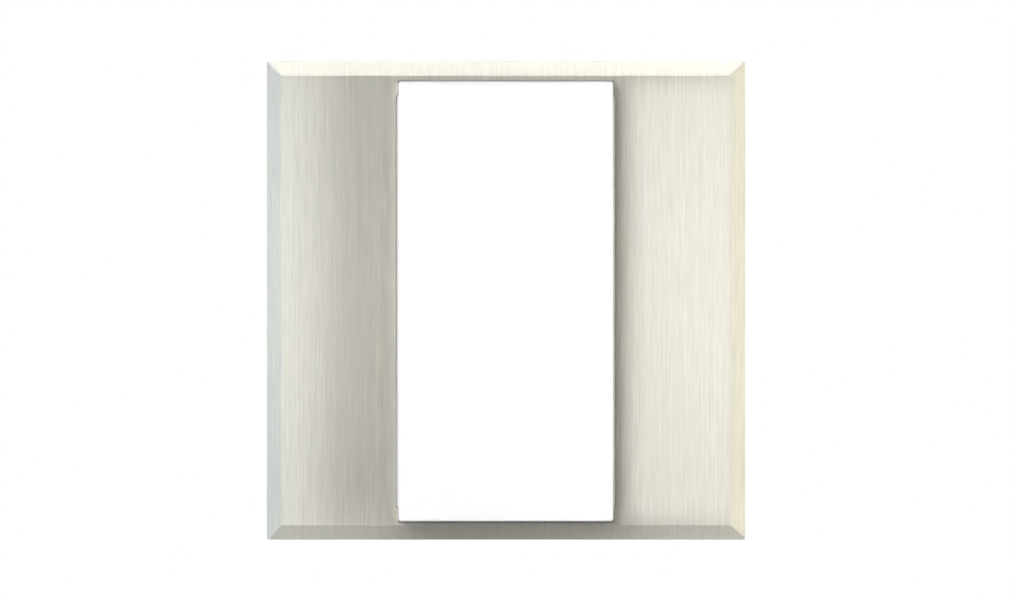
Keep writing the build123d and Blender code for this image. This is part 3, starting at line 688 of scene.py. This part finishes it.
class SWITCH_OT_screws(bpy.types.Operator):
    """Build the threaded fixing screws and plate the small screws."""

    bl_idname = "switch.screws"
    bl_label = "Screws"

    def execute(self, context):
        sizes = context.scene.fixing_screws
        colour = context.scene.metals.plating
        plated_marks = (2 * MM, 2 * MM, 2 * MM)
        plating = drawn_metal("nickel plating", colour, roughness=0.34, mark_size=plated_marks)
        dress(plating, "earth_screw", "cover_screws", "terminal_screws")
        low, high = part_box("fixing_screws")
        spacing = BOX_SCREWS["dims"]["spacing_x_mm"] * MM
        head_radius = (high.x - low.x - spacing) / 2
        neck_length = -low.y - sizes.head_height
        shape = bmesh.new()
        add_thread(shape, sizes.thread_radius, sizes.pitch, high.y)
        head = bmesh.new()
        add_slotted_head(
            head, head_radius, sizes.head_height, sizes.neck_radius, neck_length,
            sizes.slot_width, sizes.slot_depth,
        )
        joined = bpy.data.meshes.new("slotted head")
        head.to_mesh(joined)
        head.free()
        shape.from_mesh(joined)
        bpy.data.meshes.remove(joined)
        bmesh.ops.recalc_face_normals(shape, faces=shape.faces[:])
        bmesh.ops.translate(shape, verts=shape.verts[:], vec=(-spacing / 2, 0, 0))
        copied = bmesh.ops.duplicate(shape, geom=whole(shape))["geom"]
        moved = [item for item in copied if isinstance(item, bmesh.types.BMVert)]
        bmesh.ops.translate(shape, verts=moved, vec=(spacing, 0, 0))
        finish_piece("threaded_fixing_screws", shape, plating, "base", "plated_screws", "fixing_screws")
        return {"FINISHED"}


# Stage
def aim(place, target):
    """Turn that points an object's -Z from a place at a target, with Z kept upright."""
    return (target - place).to_track_quat("-Z", "Y").to_matrix().to_4x4()


def area_light(name, strength, colour, place, target, width, height, beam=180):
    """Add a light panel that the camera doesn't see; strength is the brightness of its face."""
    light = bpy.data.lights.new(name, "AREA")
    light.shape = "RECTANGLE"
    light.size = width
    light.size_y = height
    light.color = colour
    light.energy = strength * math.pi * width * height
    light.spread = math.radians(beam)
    lamp = bpy.data.objects.new(name, light)
    lamp.matrix_world = Matrix.Translation(place) @ aim(place, target)
    lamp.visible_camera = False
    bpy.context.scene.collection.objects.link(lamp)


def softbox(name, strength, colour, size, tilt, clock):
    """Add a square box far off, tilted from the plate's normal towards a clock angle from +X."""
    lean = math.radians(tilt)
    turn = math.radians(clock)
    across = math.sin(lean) * math.cos(turn)
    up = math.sin(lean) * math.sin(turn)
    place = Vector((across, -math.cos(lean), up)) * SOFTBOX_DISTANCE
    area_light(name, strength, colour, place, Vector(), size, size)


def facing_light(name, strength, colour, place, width, height, beam=180):
    """Add an upright panel close before the plate, which it faces."""
    area_light(name, strength, colour, place, place + Vector((0, 1, 0)), width, height, beam)


def far_lights(lights):
    """Add the key and fill boxes before the plate, and the boxes above and behind it."""
    plain = lights.neutral
    softbox("upper key", lights.upper_key, plain, KEY_BOX, tilt=36, clock=130)
    softbox("left key", lights.left_key, plain, KEY_BOX, tilt=44, clock=150)
    softbox("lower left", lights.lower_left, plain, KEY_BOX, tilt=44, clock=210)
    softbox("lower fill left", lights.lower_fill_left, plain, KEY_BOX, tilt=57, clock=240)
    softbox("lower fill right", lights.lower_fill_right, plain, KEY_BOX, tilt=57, clock=300)
    softbox("overhead", lights.overhead, plain, BACK_BOX, tilt=125, clock=90)
    softbox("back fill left", lights.back_fill, plain, BACK_BOX, tilt=140, clock=150)
    softbox("back fill right", lights.back_fill, plain, BACK_BOX, tilt=140, clock=30)
    softbox("low back fill", lights.low_back_fill, plain, BACK_BOX, tilt=155, clock=270)


def wing_lights(lights):
    """Add the panel and the narrow beams before the plate's two wings."""
    plain = lights.neutral
    facing_light(
        "right panel", lights.right_panel, plain, Vector((60, -80, 0)) * MM,
        width=30 * MM, height=90 * MM,
    )
    facing_light(
        "left wing fill", lights.left_wing_fill, plain, Vector((-40, -60, 0)) * MM,
        width=8 * MM, height=90 * MM, beam=30,
    )
    facing_light(
        "right wing fill", lights.right_wing_fill, plain, Vector((32, -60, 0)) * MM,
        width=18.4 * MM, height=79 * MM, beam=9,
    )


def rocker_light(lights):
    """Add a narrow beam close before the rocker, as large as its front and set over its left edge."""
    low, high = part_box("rocker_cap")
    gap = 2 * MM
    left_shift = 0.35 * MM
    down_shift = 0.3 * MM
    height = high.z - low.z - 0.5 * MM
    place = Vector((-left_shift, low.y - gap, (low.z + high.z) / 2 - down_shift))
    facing_light(
        "rocker fill", lights.rocker_fill, lights.neutral, place, width=38.8 * MM, height=height, beam=6
    )


def edge_lights(lights, low, high):
    """Add the thin strips that light the plate's bevels."""
    plain = lights.neutral
    inset = 1 * MM
    bevel = low.y + inset
    reach = high.x - inset
    long = 100 * MM
    thin = 4 * MM
    area_light(
        "top edge", lights.top_edge, plain, Vector((0, -12, 62)) * MM, Vector((0, bevel, reach)),
        width=long, height=thin, beam=EDGE_BEAM,
    )
    area_light(
        "right edge", lights.right_edge, lights.warm, Vector((62, -12, 0)) * MM,
        Vector((reach, bevel, 0)), width=thin, height=long, beam=EDGE_BEAM,
    )
    area_light(
        "left edge", lights.left_edge, lights.cool, Vector((-58, -20, 0)) * MM,
        Vector((-reach, bevel, 0)), width=thin, height=long, beam=EDGE_BEAM,
    )
    for name, strength, across in (
        ("low left edge", lights.low_left_edge, -31 * MM),
        ("low right edge", lights.low_right_edge, 34 * MM),
    ):
        area_light(
            name, strength, plain, Vector((across, -25 * MM, -55 * MM)), Vector((across, bevel, low.z)),
            width=24 * MM, height=5 * MM, beam=EDGE_BEAM,
        )


def left_panel(lights):
    """Add the small panel that lights the left wing from the side."""
    side = 45 * MM
    area_light(
        "left panel", lights.left_panel, lights.neutral, Vector((-90, -90, 0)) * MM,
        Vector((-41, 0, 0)) * MM, width=side, height=side,
    )


def studio_world():
    """White backdrop for the camera that gives the surfaces no light."""
    world = bpy.data.worlds.new("studio world")
    world.use_nodes = True
    tree = world.node_tree
    tree.nodes.clear()
    seen = add_node(tree, "ShaderNodeBackground", {"Color": (1, 1, 1, 1), "Strength": 1.0})
    light = add_node(tree, "ShaderNodeBackground", {"Color": (0, 0, 0, 1), "Strength": 1.0})
    path = add_node(tree, "ShaderNodeLightPath")
    choice = add_node(tree, "ShaderNodeMixShader")
    out = add_node(tree, "ShaderNodeOutputWorld")
    tree.links.new(path.outputs["Is Camera Ray"], choice.inputs["Fac"])
    tree.links.new(light.outputs["Background"], choice.inputs[1])
    tree.links.new(seen.outputs["Background"], choice.inputs[2])
    tree.links.new(choice.outputs["Shader"], out.inputs["Surface"])
    return world


def pale_floor(studio, level):
    """Add the round pale floor under the plate."""
    cloud_size = (60 * MM, 60 * MM, 60 * MM)
    shape = bmesh.new()
    bmesh.ops.create_circle(shape, cap_ends=True, segments=96, radius=studio.floor_radius)
    bmesh.ops.translate(shape, verts=shape.verts[:], vec=(0, 0, level))
    mesh = bpy.data.meshes.new("studio_floor")
    shape.to_mesh(mesh)
    shape.free()
    floor = bpy.data.objects.new("studio_floor", mesh)
    bpy.context.scene.collection.objects.link(floor)
    material, tree, shader = new_material(
        "pale floor", studio.floor_colour, metallic=0.0, roughness=0.8
    )
    cloud = object_noise(tree, cloud_size)
    vary_colour(tree, shader, studio.floor_colour, cloud.outputs["Fac"], low=0.98, high=1.02)
    mesh.materials.append(material)
    floor.visible_diffuse = False
    floor.visible_glossy = False
    floor.visible_shadow = False


def square_on_camera(scene, studio, low, high):
    """Add the camera, so far off that the plate gets its width in the picture."""
    camera = bpy.data.cameras.new("square-on camera")
    camera.lens = studio.focal_length
    camera.clip_end = VIEW_DEPTH
    view_width = (high.x - low.x) * PHOTO_WIDTH / studio.plate_pixels
    distance = view_width * camera.lens / camera.sensor_width
    rise = view_width / PHOTO_WIDTH * studio.lift_pixels
    viewer = bpy.data.objects.new("square-on camera", camera)
    viewer.location = (0, low.y - distance, rise)
    viewer.rotation_euler = (math.pi / 2, 0, 0)
    scene.collection.objects.link(viewer)
    scene.camera = viewer


class SWITCH_OT_stage(bpy.types.Operator):
    """Set the lights, the white backdrop, the floor and the camera square-on."""

    bl_idname = "switch.stage"
    bl_label = "Stage"

    def execute(self, context):
        studio = context.scene.studio
        lights = context.scene.studio_lights
        low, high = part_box("frame_plate")
        far_lights(lights)
        wing_lights(lights)
        rocker_light(lights)
        edge_lights(lights, low, high)
        left_panel(lights)
        context.scene.world = studio_world()
        pale_floor(studio, low.z - studio.floor_drop)
        square_on_camera(context.scene, studio, low, high)
        context.scene.view_settings.view_transform = "Standard"
        return {"FINISHED"}


# Panel and registration
class SWITCH_PT_panel(bpy.types.Panel):
    """Sidebar panel with the switch frame's settings and steps."""

    bl_label = "Switch Frame"
    bl_space_type = "VIEW_3D"
    bl_region_type = "UI"
    bl_category = "Switch Frame"

    def draw(self, context):
        for group_name in GROUPS:
            group = getattr(context.scene, group_name)
            box = self.layout.box()
            box.label(text=type(group).__doc__)
            for setting in type(group).__annotations__:
                box.prop(group, setting)
        for operator in OPERATORS:
            self.layout.operator(operator.bl_idname)


GROUPS = {
    "brushed_plate": BrushedPlate,
    "white_rocker": WhiteRocker,
    "mouldings": Mouldings,
    "metals": Metals,
    "fixing_screws": FixingScrews,
    "return_springs": ReturnSprings,
    "studio": Studio,
    "studio_lights": StudioLights,
}
OPERATORS = (
    SWITCH_OT_frame_plate,
    SWITCH_OT_rocker,
    SWITCH_OT_mouldings,
    SWITCH_OT_yoke,
    SWITCH_OT_contacts,
    SWITCH_OT_springs,
    SWITCH_OT_screws,
    SWITCH_OT_stage,
)


def register():
    """Register the settings, the operators and the panel."""
    for name, group in GROUPS.items():
        bpy.utils.register_class(group)
        setattr(bpy.types.Scene, name, bpy.props.PointerProperty(type=group))
    for operator in OPERATORS:
        bpy.utils.register_class(operator)
    bpy.utils.register_class(SWITCH_PT_panel)


def unregister():
    """Take the panel, the operators and the settings out again."""
    bpy.utils.unregister_class(SWITCH_PT_panel)
    for operator in reversed(OPERATORS):
        bpy.utils.unregister_class(operator)
    for name, group in reversed(GROUPS.items()):
        delattr(bpy.types.Scene, name)
        bpy.utils.unregister_class(group)


def main():
    """Dress the frame and set the stage."""
    register()
    bpy.ops.switch.frame_plate()
    bpy.ops.switch.rocker()
    bpy.ops.switch.mouldings()
    bpy.ops.switch.yoke()
    bpy.ops.switch.contacts()
    bpy.ops.switch.springs()
    bpy.ops.switch.screws()
    bpy.ops.switch.stage()


if __name__ == "__main__":
    main()
